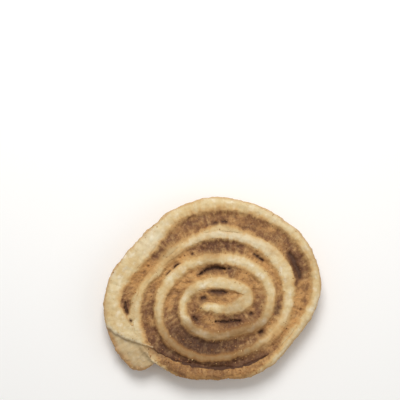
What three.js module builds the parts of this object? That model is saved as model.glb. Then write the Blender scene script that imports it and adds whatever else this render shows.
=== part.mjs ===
// Cinnamon pinwheel pastry: a strip of flaky dough spread with cinnamon filling, rolled up,
// sliced across the roll and baked. It lies flat with the rolled face up.
// Millimetres, +Z up, +X towards the right of the face, +Y towards its top.
import * as THREE from 'three';
import { LoftGeometry } from 'three/addons/geometries/LoftGeometry.js';

// Driving dimensions
const THICKNESS = 12; // slice, table to the crest of the dough
const CORE_RADIUS = 3; // roll radius where the first turn begins
const PITCH = 9.7; // growth of that radius in one turn: dough and filling together
const CORE_STRETCH = 5.5; // extra half-length of every turn along X, from the flattened core
const DOUGH_WIDTH = 3.7; // dough seen on the face, away from its swells
const DOUGH_START = -138; // degrees, tip of the curl at the core
const DOUGH_END = 1308; // degrees, end of the tail at the lower left
const TIP_LENGTH = 2.6; // rounding of the curl's tip, along the strip
const TAIL_LENGTH = 6.5; // rounding of the tail's end, along the strip
const LEAST_NOSE = 0.12; // width left at the very tip and tail, as a share of the strip's
const GAP = 0.3; // clearance between dough and filling

// Where the turns bulge out or are pressed in: [degrees along the strip, spread, millimetres]
const BULGES = [
  [-155, 22, 6.2], // curl's tip, bent outwards
  [-105, 72, 4.5], // curl, under the core's pocket
  [30, 25, 0.6], // bend at the right of the core
  [240, 54, 6.1], // first turn, lower left
  [315, 27, 2.1], // first turn, lower right corner
  [595, 50, 6.0], // second turn, lower left
  [720, 44, -2.4], // second turn, pressed in at the right
  [860, 24, -2.9], // third turn, pressed in at the upper left
  [940, 35, 3.8], // third turn, lower left
  [960, 22, 0.6], // third turn, foot of the tail
  [1010, 20, 0.6], // third turn, bottom right
  [1050, 35, -4.3], // third turn, pressed in at the lower right
  [1215, 94, 3.2], // last turn, whole upper left
  [1225, 28, -5.8], // last turn, flat stretch at the upper left
  [1290, 22, 0.4], // tail
];

// Where the dough is fatter or thinner: [degrees along the strip, spread, millimetres]
const SWELLS = [
  [-40, 45, 1.9], // curl, right of the core
  [95, 45, 1.4], // top of the first turn
  [425, 38, 1.4], // top of the second turn
  [520, 30, 1.1], // left of the second turn
  [600, 25, -0.5], // lower left of the second turn
  [645, 16, -0.8], // bottom of the second turn
  [755, 34, 2.0], // upper right of the third turn
  [875, 32, -0.8], // upper left of the third turn
  [960, 22, 1.5], // lower left of the third turn, where it comes to the outside
  [1010, 20, 0.9], // bottom right of the third turn
  [1175, 30, 1.9], // top of the last turn
  [1225, 24, 3.3], // upper left of the last turn
  [1260, 32, 3.2], // left of the last turn
  [1295, 18, 2.0], // tail
];

// Open cracks and baked-out pits in the filling: [degrees, spread, depth, place across from 0
// towards the core to 1 away from it, half-width as a share of the filling there]
const CRACKS = [
  [108, 18, 5.5, 0.72, 0.16], // core's pocket
  [152, 8, 4.5, 0.45, 0.2], // pit left of the pocket
  [227, 8, 4.0, 0.7, 0.2], // pit under the curl's tip
  [276, 20, 7.0, 0.44, 0.16], // crack under the curl
  [317, 7, 3.5, 0.45, 0.2], // pit at that crack's right end
  [454, 14, 7.0, 0.72, 0.18], // arched crack over the core, right half
  [483, 15, 6.5, 0.58, 0.18], // arched crack over the core, left half
  [670, 7, 3.5, 0.45, 0.3], // pit at the lower right
  [774, 7, 4.5, 0.58, 0.25], // pit at the upper right
  [868, 8, 4.5, 0.12, 0.22], // pit at the upper left
  [986, 32, 5.5, 0.82, 0.25], // crevice along the bottom
  [1108, 12, 7.5, 0.34, 0.18], // long crevice at the right
  [1172, 8, 3.0, 0.43, 0.18], // pit at the top
  [1267, 8, 4.5, 0.58, 0.25], // streak beside the tail
];

// Sizes of the baked surface
const DOUGH_RING_STEP = 2.5; // between cross-sections, along the dough
const FILLING_RING_STEP = 2.5; // between cross-sections, along the filling
const MOST_TURN = 6; // degrees, largest step between cross-sections
const CORE_TURN = 4; // degrees, largest step in the core, where the strip bends hardest
const CORE_END = 250; // degrees, where the core's bends end
const NOSE_REACH = 8; // length of strip at each end where the cross-sections stand closer
const NOSE_CLOSEST = 0.3; // share of the usual spacing left at the very ends
const CRUST_ROUND = 0.9; // rounding of the dough's upper edges
const FOOT_ROUND = 0.5; // rounding of the dough's lower edges
const SHOULDER_IN = 0.45; // share of that rounding where the edge turns over, inwards
const SHOULDER_DOWN = 0.25; // and downwards
const ROUND_SHARE = 0.3; // most a rounding may take of the dough's width
const WALL_BULGE = 0.5; // barrel of the outer wall: how far its edges draw in
const BULGE_SHARE = 0.2; // most that barrel may take of the dough's width
const UPPER_WALL = 0.7; // share of the wall's height where the barrel is nearly full
const MIDDLE_WALL = 0.42; // share of the wall's height where it stands out furthest
const OUTSIDE_FROM = 938; // degrees, where the third turn comes out from under the tail
const OUTSIDE_TO = 973; // degrees, where its whole wall shows
const CROWN = 0.25; // how much lower the dough's edges lie than its crest
const CREST = 0.45; // place of the crest's cross-section points, on each side of the middle
const DOUGH_UNEVEN = 0.45; // rise and fall of the dough's crest
const DOUGH_UNEVEN_ACROSS = 2; // how quickly that changes across the dough
const FILLING_SINK = 1.1; // filling below the dough's crest
const FILLING_UNEVEN = 0.5; // rise and fall of the filling
const FILLING_UNEVEN_ALONG = 1.7; // how much quicker than the dough's that is along the strip
const FILLING_UNEVEN_ACROSS = 5; // and how quickly it changes across the filling
const FILLING_FOOT = 0.4; // underside of the filling, above the table
const FILLING_STEPS = 5; // facets across the filling's face
const TAIL_STEP = 2.6; // drop of the tail's pressed flap below the face
const TAIL_STEP_AT = 1281; // degrees, flaky edge where the flap begins
const TAIL_STEP_SPREAD = 2; // degrees, length of that drop
const TAIL_STEP_FILLING = 0.6; // share of the drop that the filling beside it takes
const TAIL_CLOSES_FROM = 1262; // degrees, where the tail starts to close on the turn inside it
const TAIL_CLOSED_AT = 1288; // degrees, where it lies against that turn
const FILLING_START = 38; // degrees, first cross-section of the filling, in the core's pocket
const FILLING_END = 1280; // degrees, last cross-section of the filling, under the tail
const POCKET_END = 165; // degrees, where the filling reaches the tip of the curl
const POCKET_CURL_START = -6; // degrees, place on the curl that faces the filling's start
const TIP_CLEARANCE = 0.25; // extra clearance of the filling round the curl's tip
const TURN = 360; // degrees in a full turn
const HALF_STEP = 0.5; // degrees to each side, for directions and lengths along the strip
const LENGTH_STEPS = 24; // chords that a length of strip is summed from

// Slow rise and fall of the baked faces, as sine waves:
// [waves along (radians per degree), waves across (radians), start (radians), height]
const RIPPLES = [
  [0.071, 0, 1.3, 1.0], // a swell of about a quarter turn
  [0.173, 0.9, 0, 0.7], // a shorter one, slanting across the band
  [0.417, 1.7, 0, 0.5], // dimples
  [0.83, 0, 2.1, 0.4], // fine dimples
];

const toRadians = Math.PI / 180;

// Sum of smooth humps, each given as [place, spread, height]
function humps(list, at) {
  let sum = 0;
  for (const [place, spread, height] of list) {
    sum += height * Math.exp(-(((at - place) / spread) ** 2));
  }
  return sum;
}

// Centre line of the rolled dough
function rollPoint(degrees) {
  const angle = degrees * toRadians;
  const radius = CORE_RADIUS + (PITCH * degrees) / TURN + humps(BULGES, degrees);
  const x = (radius + CORE_STRETCH) * Math.cos(angle);
  return new THREE.Vector2(x, radius * Math.sin(angle));
}

// Direction across the strip, away from the core
function rollNormal(degrees) {
  const along = rollPoint(degrees + HALF_STEP).sub(rollPoint(degrees - HALF_STEP)).normalize();
  return new THREE.Vector2(along.y, -along.x);
}

function millimetresPerDegree(degrees) {
  const chord = rollPoint(degrees + HALF_STEP).distanceTo(rollPoint(degrees - HALF_STEP));
  return chord / (2 * HALF_STEP);
}

// Length of strip between two places
function stripLength(from, to) {
  let length = 0;
  for (let i = 0; i < LENGTH_STEPS; i += 1) {
    const here = THREE.MathUtils.lerp(from, to, i / LENGTH_STEPS);
    const next = THREE.MathUtils.lerp(from, to, (i + 1) / LENGTH_STEPS);
    length += rollPoint(here).distanceTo(rollPoint(next));
  }
  return length;
}

// Places of the cross-sections, evenly spaced along the strip and closer together at its ends
function ringPlaces(from, to, spacing) {
  const places = [from];
  let at = from;
  while (at < to) {
    const nearEnd = Math.min(stripLength(from, at), stripLength(at, to)) / NOSE_REACH;
    const closer = THREE.MathUtils.clamp(nearEnd, NOSE_CLOSEST, 1);
    const most = at < CORE_END ? CORE_TURN : MOST_TURN;
    at += Math.min(spacing / millimetresPerDegree(at), most) * closer;
    places.push(at);
  }
  return places.map((place) => from + ((place - from) * (to - from)) / (at - from));
}

// 0 at the very end of the strip, rising to 1 along a half-round nose
function noseTaper(distance, length) {
  const far = Math.min(distance / length, 1);
  return Math.sqrt(Math.max(1 - (1 - far) ** 2, 0));
}

// Width of the dough on the face, rounded off at the curl's tip
function doughWidth(degrees) {
  const tip = noseTaper(stripLength(DOUGH_START, degrees), TIP_LENGTH);
  return (DOUGH_WIDTH + humps(SWELLS, degrees)) * Math.max(tip, LEAST_NOSE);
}

// Edge of the dough towards the core, from its centre line. The tail's closes on the turn inside.
function innerReach(degrees) {
  const half = doughWidth(degrees) / 2;
  if (degrees < TAIL_CLOSES_FROM) {
    return half;
  }
  const inside = degrees - TURN;
  const between = rollPoint(degrees).sub(rollPoint(inside)).dot(rollNormal(degrees));
  const closed = between - doughWidth(inside) / 2 - GAP;
  const share = THREE.MathUtils.smoothstep(degrees, TAIL_CLOSES_FROM, TAIL_CLOSED_AT);
  return THREE.MathUtils.lerp(half, closed, share);
}

// Edge of the dough away from the core, from its centre line. The tail's end rounds off inwards.
function outerReach(degrees) {
  const inner = innerReach(degrees);
  const tail = noseTaper(stripLength(degrees, DOUGH_END), TAIL_LENGTH);
  return (inner + doughWidth(degrees) / 2) * Math.max(tail, LEAST_NOSE) - inner;
}

// Slow irregular rise and fall, the same every time: between -1 and 1
function uneven(along, across) {
  let sum = 0;
  let most = 0;
  for (const [waves, slant, start, height] of RIPPLES) {
    sum += height * Math.sin(along * waves + across * slant + start);
    most += height;
  }
  return sum / most;
}

// How far the tail's flap lies below the rest of the face
function tailDrop(degrees) {
  const step = (degrees - TAIL_STEP_AT) / TAIL_STEP_SPREAD;
  return TAIL_STEP / (1 + Math.exp(-2 * step));
}

// Height of the dough's face, across from -1 (towards the core) to 1 (away from it)
function doughTop(degrees, across) {
  const crest = THICKNESS - CROWN * across * across;
  const rise = uneven(degrees, across * DOUGH_UNEVEN_ACROSS);
  return crest - DOUGH_UNEVEN * (1 + rise) - tailDrop(degrees);
}

// A point beside the strip's centre line, at a height
function beside(degrees, offset, height) {
  const point = rollPoint(degrees).addScaledVector(rollNormal(degrees), offset);
  return new THREE.Vector3(point.x, point.y, height);
}

// Cross-section of the dough: its foot, inner wall, uneven face and outer wall in turn
function doughRing(degrees) {
  const inner = innerReach(degrees);
  const outer = outerReach(degrees);
  const width = inner + outer;
  const middle = (outer - inner) / 2;
  const isOutside = THREE.MathUtils.smoothstep(degrees, OUTSIDE_FROM, OUTSIDE_TO);
  const edge = outer - Math.min(WALL_BULGE * isOutside, width * BULGE_SHARE);
  const foot = Math.min(FOOT_ROUND * (1 + isOutside), width * ROUND_SHARE);
  const shoulder = Math.min(CRUST_ROUND, width * ROUND_SHARE);
  const turnsOver = shoulder * SHOULDER_IN;
  const crest = (CREST * width) / 2;
  const outerTop = doughTop(degrees, 1);
  const innerTop = doughTop(degrees, -1);
  return [
    beside(degrees, edge - foot, 0),
    beside(degrees, -inner + foot, 0),
    beside(degrees, -inner, foot),
    beside(degrees, -inner, innerTop * MIDDLE_WALL),
    beside(degrees, -inner, innerTop - shoulder),
    beside(degrees, -inner + turnsOver, innerTop - shoulder * SHOULDER_DOWN),
    beside(degrees, middle - crest, doughTop(degrees, -CREST)),
    beside(degrees, middle, doughTop(degrees, 0)),
    beside(degrees, middle + crest, doughTop(degrees, CREST)),
    beside(degrees, edge - turnsOver, outerTop - shoulder * SHOULDER_DOWN),
    beside(degrees, edge, outerTop - shoulder),
    beside(degrees, outer, outerTop * UPPER_WALL),
    beside(degrees, outer, outerTop * MIDDLE_WALL),
    beside(degrees, edge, foot),
  ];
}

// Boundary of the filling towards the turn outside it
function fillingOuterEdge(degrees) {
  return beside(degrees, -innerReach(degrees) - GAP, 0);
}

// Boundary of the filling towards the turn inside it. In the core it follows the curl's upper
// side, then goes round the curl's tip.
function fillingInnerEdge(degrees) {
  if (degrees >= DOUGH_START + TURN) {
    const inside = degrees - TURN;
    return beside(inside, doughWidth(inside) / 2 + GAP, 0);
  }
  const roundTip = (degrees - POCKET_END) / (DOUGH_START + TURN - POCKET_END);
  if (roundTip > 0) {
    const tip = beside(DOUGH_START, 0, 0);
    const normal = rollNormal(DOUGH_START);
    const back = new THREE.Vector2(normal.y, -normal.x);
    const angle = roundTip * Math.PI;
    const reach = GAP + TIP_CLEARANCE;
    const across = -Math.cos(angle) * reach;
    const beyond = Math.sin(angle) * reach;
    tip.x += normal.x * across + back.x * beyond;
    tip.y += normal.y * across + back.y * beyond;
    return tip;
  }
  const alongPocket = (degrees - FILLING_START) / (POCKET_END - FILLING_START);
  const curl = THREE.MathUtils.lerp(POCKET_CURL_START, DOUGH_START, alongPocket);
  return beside(curl, -doughWidth(curl) / 2 - GAP, 0);
}

// Height of the filling, across from 0 (towards the core) to 1 (away from it)
function fillingTop(degrees, across) {
  const rise = uneven(degrees * FILLING_UNEVEN_ALONG, across * FILLING_UNEVEN_ACROSS);
  let height = THICKNESS - FILLING_SINK - FILLING_UNEVEN * (1 + rise);
  for (const [place, spread, depth, seat, width] of CRACKS) {
    const along = Math.exp(-(((degrees - place) / spread) ** 4));
    const aside = Math.exp(-(((across - seat) / width) ** 2));
    height -= depth * along * aside;
  }
  return height - tailDrop(degrees) * TAIL_STEP_FILLING;
}

// Cross-section of the filling between two turns of dough
function fillingRing(degrees) {
  const inner = fillingInnerEdge(degrees);
  const outer = fillingOuterEdge(degrees);
  const at = (across, height) => {
    const point = inner.clone().lerp(outer, across);
    point.z = height;
    return point;
  };
  const ring = [at(1, FILLING_FOOT), at(0, FILLING_FOOT)];
  for (let i = 0; i <= FILLING_STEPS; i += 1) {
    const across = i / FILLING_STEPS;
    ring.push(at(across, fillingTop(degrees, across)));
  }
  return ring;
}

// One closed solid through a run of cross-sections, standing in the roll's own frame
function loft(name, rings, colour, roughness) {
  const geometry = new LoftGeometry(rings, { closed: true, capStart: true, capEnd: true });
  const material = new THREE.MeshStandardMaterial({ color: colour, roughness, metalness: 0 });
  const mesh = new THREE.Mesh(geometry, material);
  mesh.name = name;
  return mesh;
}

const doughRings = ringPlaces(DOUGH_START, DOUGH_END, DOUGH_RING_STEP).map(doughRing);
const fillingRings = ringPlaces(FILLING_START, FILLING_END, FILLING_RING_STEP).map(fillingRing);

const dough = loft('rolled_dough', doughRings, 0xddc698, 0.8);
const filling = loft('cinnamon_filling', fillingRings, 0x9a7150, 0.85);

// The origin is under the middle of the slice, on the table
const group = new THREE.Group();
group.add(dough, filling);
const middle = new THREE.Box3().setFromObject(group).getCenter(new THREE.Vector3());
dough.position.set(-middle.x, -middle.y, 0);
filling.position.set(-middle.x, -middle.y, 0);

export default group;
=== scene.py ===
# Cinnamon pinwheel pastry: a baked slice of rolled dough and filling that lies flat, face up.
# Blender's lengths are metres in the solid model's frame; the roll's own rule is in millimetres.
import math

import bpy
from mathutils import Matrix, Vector


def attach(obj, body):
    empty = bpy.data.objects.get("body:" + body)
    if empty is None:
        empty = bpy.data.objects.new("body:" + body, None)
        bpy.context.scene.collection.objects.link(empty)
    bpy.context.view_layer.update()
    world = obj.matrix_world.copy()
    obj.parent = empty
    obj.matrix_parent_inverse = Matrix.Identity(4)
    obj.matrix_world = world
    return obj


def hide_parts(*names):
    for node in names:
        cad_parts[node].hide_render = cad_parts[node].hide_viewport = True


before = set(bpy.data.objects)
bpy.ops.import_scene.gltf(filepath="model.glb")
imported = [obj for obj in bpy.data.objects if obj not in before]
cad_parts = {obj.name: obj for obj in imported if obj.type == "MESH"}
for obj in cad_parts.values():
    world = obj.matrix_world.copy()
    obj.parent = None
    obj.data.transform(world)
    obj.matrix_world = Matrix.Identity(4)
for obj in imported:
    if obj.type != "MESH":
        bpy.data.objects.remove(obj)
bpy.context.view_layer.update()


# Rolled dough. One strip of layered dough, rolled up with the filling on it, sliced across and
# baked: its cut edge puffs up into a pale ridge, and its last turn ends in a pressed, lower flap.
# It is swept along the roll's centre line and then gets its crust's relief.
MM = 0.001
THICKNESS = 12.0  # slice, table to the crest of the dough
CORE_RADIUS = 3.0  # roll radius where the first turn begins
PITCH = 9.7  # growth of that radius in one turn
CORE_STRETCH = 5.5  # extra half-length of every turn along X
DOUGH_WIDTH = 3.7  # dough seen on the face, away from its swells
DOUGH_START = -138.0  # degrees, tip of the curl at the core
DOUGH_END = 1308.0  # degrees, end of the tail at the lower left
TIP_LENGTH = 2.6  # rounding of the curl's tip, along the strip
TAIL_LENGTH = 6.5  # rounding of the tail's end, along the strip
LEAST_NOSE = 0.02  # width left at the very tip and tail, as a share of the strip's
GAP = 0.3  # clearance between the solids of dough and filling
TURN = 360.0  # degrees in a full turn
TAIL_CLOSES_FROM = 1262.0  # degrees, where the tail starts to close on the turn inside it
TAIL_CLOSED_AT = 1288.0  # degrees, where it lies against that turn
TAIL_PRESS = 1.0  # how far the tail's baked dough has run into that turn
OUTSIDE_FROM = 938.0  # degrees, where the third turn comes out from under the tail
OUTSIDE_TO = 973.0  # degrees, where its whole wall shows
FLAP_AT = 1282.0  # degrees, frayed lip where the tail drops to its pressed flap
FOLD_AT = 937.0  # degrees, where that lip runs on across the third turn
TAIL_SEAM = (1262.0, 1280.0)  # degrees, where the tail's ridge runs together with the turn inside it
TURN_SEAM = (902.0, 920.0)  # degrees, the same on that turn
TURN_SEAM_OPENS = (944.0, 954.0)  # degrees, where the two part again
TAIL_DRY = (1262.0, 1276.0)  # degrees, where no cinnamon is left between them to soak into the tail
TURN_DRY = (898.0, 922.0)  # degrees, the same on the turn inside it
DOUGH_STEP = 0.32  # spacing of the cross-sections

# In the tables, turn 1 is from 0 to 360 degrees along the strip, turn 2 to 720, and so on.
# Where the turns bulge out or are pressed in: (degrees along the strip, spread, millimetres)
BULGES = [
    (-155, 22, 6.2),  # curl's tip, bent outwards
    (-105, 72, 4.5),  # curl, under the core's pocket
    (30, 25, 0.6),  # bend at the right of the core
    (240, 54, 6.1),  # turn 1, lower left
    (315, 27, 2.1),  # turn 1, lower right corner
    (595, 50, 6.0),  # turn 2, lower left
    (720, 44, -2.4),  # turn 2, pressed in at the right
    (860, 24, -2.9),  # turn 3, pressed in at the upper left
    (940, 35, 3.8),  # turn 3, lower left
    (960, 22, 0.6),  # turn 3, foot of the tail
    (1010, 20, 0.6),  # turn 3, bottom right
    (1050, 35, -4.3),  # turn 3, pressed in at the lower right
    (1215, 94, 3.2),  # turn 4, whole upper left
    (1225, 28, -5.8),  # turn 4, flat stretch at the upper left
    (1290, 22, 0.4),  # tail
]

# Where the dough is fatter or thinner: (degrees along the strip, spread, millimetres)
SWELLS = [
    (-40, 45, 1.9),  # curl, right of the core
    (95, 45, 1.4),  # top of turn 1
    (425, 38, 1.4),  # top of turn 2
    (520, 30, 1.1),  # left of turn 2
    (600, 25, -0.5),  # lower left of turn 2
    (645, 16, -0.8),  # bottom of turn 2
    (755, 34, 2.0),  # upper right of turn 3
    (875, 32, -0.8),  # upper left of turn 3
    (960, 22, 1.5),  # lower left of turn 3, where it comes to the outside
    (1010, 20, 0.9),  # bottom right of turn 3
    (1175, 30, 1.9),  # top of turn 4
    (1225, 24, 3.3),  # upper left of turn 4
    (1260, 32, 3.2),  # left of turn 4
    (1295, 18, 2.0),  # tail
]

# How far cinnamon soaks into the dough beyond its usual reach, from its edge towards the core
# ("in") and from its edge away from it ("out"): (degrees along the strip, spread, millimetres)
SOAK = 0.6  # usual reach, millimetres
SOAKS = {
    "in": [
        (440, 30, 0.3),  # over the arched crack
        (560, 40, 0.5),  # turn 2, lower left
        (678, 14, 1.0),  # turn 2, lower right
        (856, 11, 1.3),  # turn 3, where it is thin
        (978, 40, 6.0),  # along the bottom, all across the dough
        (1182, 20, 1.1),  # top of turn 4
        (1262, 10, 0.7),  # beside the streak at the tail
    ],
    "out": [
        (455, 18, 0.7),  # turn 2, top
        (505, 10, 0.7),  # turn 2, left
        (610, 40, 0.6),  # turn 2, bottom
        (676, 12, 1.2),  # turn 2, lower right
        (790, 14, 0.4),  # turn 3, top right
        (878, 10, 1.5),  # turn 3, where it is thin
    ],
}

# Where the line between dough and cinnamon is the most ragged, on the same two edges
FRINGE = 0.95  # usual depth of its tongues, millimetres
FRINGES = {
    "in": [
        (320, 40, 0.3),  # turn 1, right
        (690, 25, 0.7),  # turn 2, lower right
        (866, 24, 1.0),  # turn 3, where it is thin
        (1180, 26, 1.0),  # top of turn 4
        (1112, 18, 0.8),  # right of turn 4
    ],
    "out": [
        (120, 50, 0.3),  # turn 1, top left
        (455, 25, 0.9),  # turn 2, top
        (690, 25, 0.7),  # turn 2, lower right
        (780, 26, 0.5),  # turn 3, upper right
        (866, 24, 0.9),  # turn 3, where it is thin
        (500, 20, 0.4),  # turn 2, left
    ],
}

# Where the dough is browner (above 0) or paler (below 0): (degrees along the strip, spread, share). The
# browner rows at the bottoms of turns 1 to 3 are partly painted shade, and the paler rows at the top of
# turn 3 and the upper left of turn 4 are partly painted highlight.
TOASTS_AND_PAINTED_LIGHT = [
    (-65, 40, 0.45),  # curl
    (20, 28, 0.3),  # bend at the right of the core
    (90, 30, -0.2),  # top of turn 1
    (165, 16, 0.35),  # turn 1, left
    (230, 12, 0.4),  # turn 1, lower left, browner and partly painted shade
    (284, 52, 1.0),  # turn 1, bottom, browner and partly painted shade
    (462, 16, 0.45),  # turn 2, top
    (430, 20, -0.4),  # turn 2, top right
    (616, 50, 1.2),  # turn 2, bottom, browner and partly painted shade
    (682, 12, -0.5),  # turn 2, lower right
    (800, 36, -0.8),  # top of turn 3, paler and partly painted highlight
    (856, 14, 0.45),  # turn 3, where it is thin
    (908, 12, 0.25),  # turn 3, left
    (975, 45, 0.25),  # bottom, browner and partly painted shade
    (1110, 14, 0.3),  # right of turn 4
    (1138, 18, -0.4),  # upper right of turn 4
    (1218, 14, -0.6),  # upper left of turn 4, paler and partly painted highlight
    (1300, 16, 0.3),  # tail
]

# Where the outer rim is rough with flakes: (degrees along the strip, spread, share)
FLAKY = [
    (1130, 30, 0.3),  # upper right
    (1228, 24, 1.0),  # upper left
    (1296, 12, 0.8),  # tail
]


def humps(rows, at):
    """Sum of smooth humps, each given as (place, spread, height)."""
    return sum(height * math.exp(-(((at - place) / spread) ** 2)) for place, spread, height in rows)


def roll_point(degrees):
    """Centre line of the rolled dough."""
    angle = math.radians(degrees)
    radius = CORE_RADIUS + PITCH * degrees / TURN + humps(BULGES, degrees)
    return Vector(((radius + CORE_STRETCH) * math.cos(angle), radius * math.sin(angle), 0))


def roll_side(degrees):
    """Direction across the strip, away from the core."""
    along = (roll_point(degrees + 0.5) - roll_point(degrees - 0.5)).normalized()
    return Vector((along.y, -along.x, 0))


def strip_length(start, end):
    """Length of strip between two places."""
    steps = 24  # straight pieces that it is measured by
    stops = [roll_point(start + (end - start) * i / steps) for i in range(steps + 1)]
    return sum((b - a).length for a, b in zip(stops, stops[1:]))


def smooth(value, low, high):
    """0 below low, 1 above high, smooth between them."""
    share = min(max((value - low) / (high - low), 0), 1)
    return share * share * (3 - 2 * share)


def nose_taper(distance, length):
    """0 at the very end of the strip, rising to 1 along a half-round nose."""
    return math.sqrt(max(1 - (1 - min(distance / length, 1)) ** 2, 0))


def dough_width(degrees):
    """Width of the dough on the face, rounded off at the curl's tip."""
    tip = nose_taper(strip_length(DOUGH_START, degrees), TIP_LENGTH)
    return (DOUGH_WIDTH + humps(SWELLS, degrees)) * max(tip, LEAST_NOSE)


def inner_reach(degrees):
    """Edge of the dough towards the core, from its centre line."""
    half = dough_width(degrees) / 2
    if degrees < TAIL_CLOSES_FROM:
        return half
    inside = degrees - TURN
    between = (roll_point(degrees) - roll_point(inside)).dot(roll_side(degrees))
    closed = between - dough_width(inside) / 2 + TAIL_PRESS
    share = smooth(degrees, TAIL_CLOSES_FROM, TAIL_CLOSED_AT)
    return half + (closed - half) * share


def outer_reach(degrees):
    """Edge of the dough away from the core, from its centre line."""
    inner = inner_reach(degrees)
    tail = nose_taper(strip_length(degrees, DOUGH_END), TAIL_LENGTH)
    return (inner + dough_width(degrees) / 2) * max(tail, LEAST_NOSE) - inner


def beside(degrees, offset):
    """A point on the table beside the strip's centre line."""
    return roll_point(degrees) + roll_side(degrees) * offset


def ring_places(start, end, spacing):
    """Places of the cross-sections, closer together near the strip's ends."""
    nose_reach = 8.0  # millimetres from an end within which they draw together
    closest = 0.25  # share of the spacing that is left at the very end
    places = [start]
    while places[-1] < end:
        at = places[-1]
        per_degree = (roll_point(at + 0.5) - roll_point(at - 0.5)).length
        near_end = min(strip_length(start, at), abs(strip_length(at, end))) / nose_reach
        places.append(at + spacing / per_degree * min(max(near_end, closest), 1))
    stretch = (end - start) / (places[-1] - start)
    return [start + (place - start) * stretch for place in places]


def lengths_along(points):
    """Distance from the first point to each point of a chain."""
    lengths = [0.0]
    for a, b in zip(points, points[1:]):
        lengths.append(lengths[-1] + (b - a).length)
    return lengths


def path_mesh(name, points, numbers, vectors=None):
    """A chain of edges whose points carry named values, for a tree to sweep along."""
    mesh = bpy.data.meshes.new(name)
    mesh.from_pydata(points, [(i, i + 1) for i in range(len(points) - 1)], [])
    for key, values in numbers.items():
        mesh.attributes.new(key, "FLOAT", "POINT").data.foreach_set("value", values)
    for key, values in (vectors or {}).items():
        flat = [number for value in values for number in value]
        mesh.attributes.new(key, "FLOAT_VECTOR", "POINT").data.foreach_set("vector", flat)
    return mesh


class Field:
    """A result of a node, passed on to others or reckoned with like a plain number."""

    def __init__(self, tree, socket):
        self.tree = tree
        self.socket = socket

    def __add__(self, other):
        return calc("ADD", self, other)

    def __sub__(self, other):
        return calc("SUBTRACT", self, other)

    def __rsub__(self, other):
        return calc("SUBTRACT", other, self)

    def __mul__(self, other):
        return calc("MULTIPLY", self, other)

    def __truediv__(self, other):
        return calc("DIVIDE", self, other)

    def __rtruediv__(self, other):
        return calc("DIVIDE", other, self)


def fill(tree, socket, value):
    """Links a socket to a field, or sets its value."""
    if isinstance(value, Field):
        tree.links.new(value.socket, socket)
    else:
        socket.default_value = value


def put(tree, kind, inputs=None, **settings):
    """Adds a node with its settings, and fills the inputs that are named."""
    node = tree.nodes.new(kind)
    for key, value in settings.items():
        setattr(node, key, value)
    for key, value in (inputs or {}).items():
        fill(tree, next(s for s in node.inputs if s.enabled and s.name == key), value)
    return node


def made(tree, kind, inputs=None, **settings):
    """The first result of a new node."""
    node = put(tree, kind, inputs, **settings)
    return Field(tree, next(s for s in node.outputs if s.enabled))


def calc(operation, *values, kind="ShaderNodeMath"):
    """One step of arithmetic between fields and numbers."""
    tree = next(value.tree for value in values if isinstance(value, Field))
    node = put(tree, kind, operation=operation)
    for socket, value in zip([s for s in node.inputs if s.enabled], values):
        fill(tree, socket, value)
    return Field(tree, next(s for s in node.outputs if s.enabled))


def reckon(operation, *values):
    """One step of arithmetic between vector fields and vectors."""
    return calc(operation, *values, kind="ShaderNodeVectorMath")


def vector(x, y, z):
    """A vector field from three numbers or fields."""
    tree = next(value.tree for value in (x, y, z) if isinstance(value, Field))
    return made(tree, "ShaderNodeCombineXYZ", {"X": x, "Y": y, "Z": z})


def part_of(field, axis):
    """X, Y or Z of a vector field."""
    node = put(field.tree, "ShaderNodeSeparateXYZ", {"Vector": field})
    return Field(field.tree, node.outputs[axis])


def scaled(place, x, y, z):
    """A vector field with each axis stretched."""
    numbers = not any(isinstance(value, Field) for value in (x, y, z))
    return reckon("MULTIPLY", place, (x, y, z) if numbers else vector(x, y, z))


def along_vector(direction, length):
    """A vector field of one direction and a length."""
    return scaled(direction, length, length, length)


def ramp(field, low, high, start=0.0, end=1.0):
    """Goes smoothly from start, where the field is at low, to end, where it is at high."""
    inputs = {"Value": field, "From Min": low, "From Max": high, "To Min": start, "To Max": end}
    return made(field.tree, "ShaderNodeMapRange", inputs, interpolation_type="SMOOTHSTEP")


NOISE_SWING = 3.6  # spreads the noise node's narrow swing to about -1 to 1


def noise(place, size, detail=2.0, seed=0.0):
    """Soft noise with lumps of one size, about -1 to 1."""
    inputs = {"Vector": place, "W": seed, "Scale": 1 / size, "Detail": detail}
    lumps = made(place.tree, "ShaderNodeTexNoise", inputs, noise_dimensions="4D")
    return (lumps - 0.5) * NOISE_SWING


def spots(place, spacing, seed):
    """Distance from the nearest of some scattered points, in spacings, and its random number."""
    inputs = {"Vector": place, "W": seed, "Scale": 1 / spacing}
    node = put(place.tree, "ShaderNodeTexVoronoi", inputs, voronoi_dimensions="4D")
    distance = Field(place.tree, node.outputs["Distance"])
    return distance, part_of(Field(place.tree, node.outputs["Color"]), "X")


def jumble(place, size, reach):
    """Pushes a place about, so that what is laid out on it comes out uneven."""
    node = put(place.tree, "ShaderNodeTexNoise", {"Vector": place, "Scale": 1 / size, "Detail": 1.0})
    push = reckon("SUBTRACT", Field(place.tree, node.outputs["Color"]), (0.5, 0.5, 0.5))
    return reckon("ADD", place, along_vector(push, reach))


def new_tree(name, inputs):
    """A geometry tree with one geometry in and one out, and a named input for each size."""
    kinds = {int: "Int", float: "Float", bpy.types.Material: "Material", bpy.types.Object: "Object"}
    tree = bpy.data.node_groups.new(name, "GeometryNodeTree")
    for way in ("OUTPUT", "INPUT"):
        tree.interface.new_socket("Geometry", in_out=way, socket_type="NodeSocketGeometry")
    for key, value in inputs.items():
        kind = "NodeSocket" + kinds[type(value)]
        tree.interface.new_socket(key, in_out="INPUT", socket_type=kind)
    entry = tree.nodes.new("NodeGroupInput")
    size = {key: Field(tree, entry.outputs[key]) for key in inputs}
    return tree, Field(tree, entry.outputs["Geometry"]), size


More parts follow.
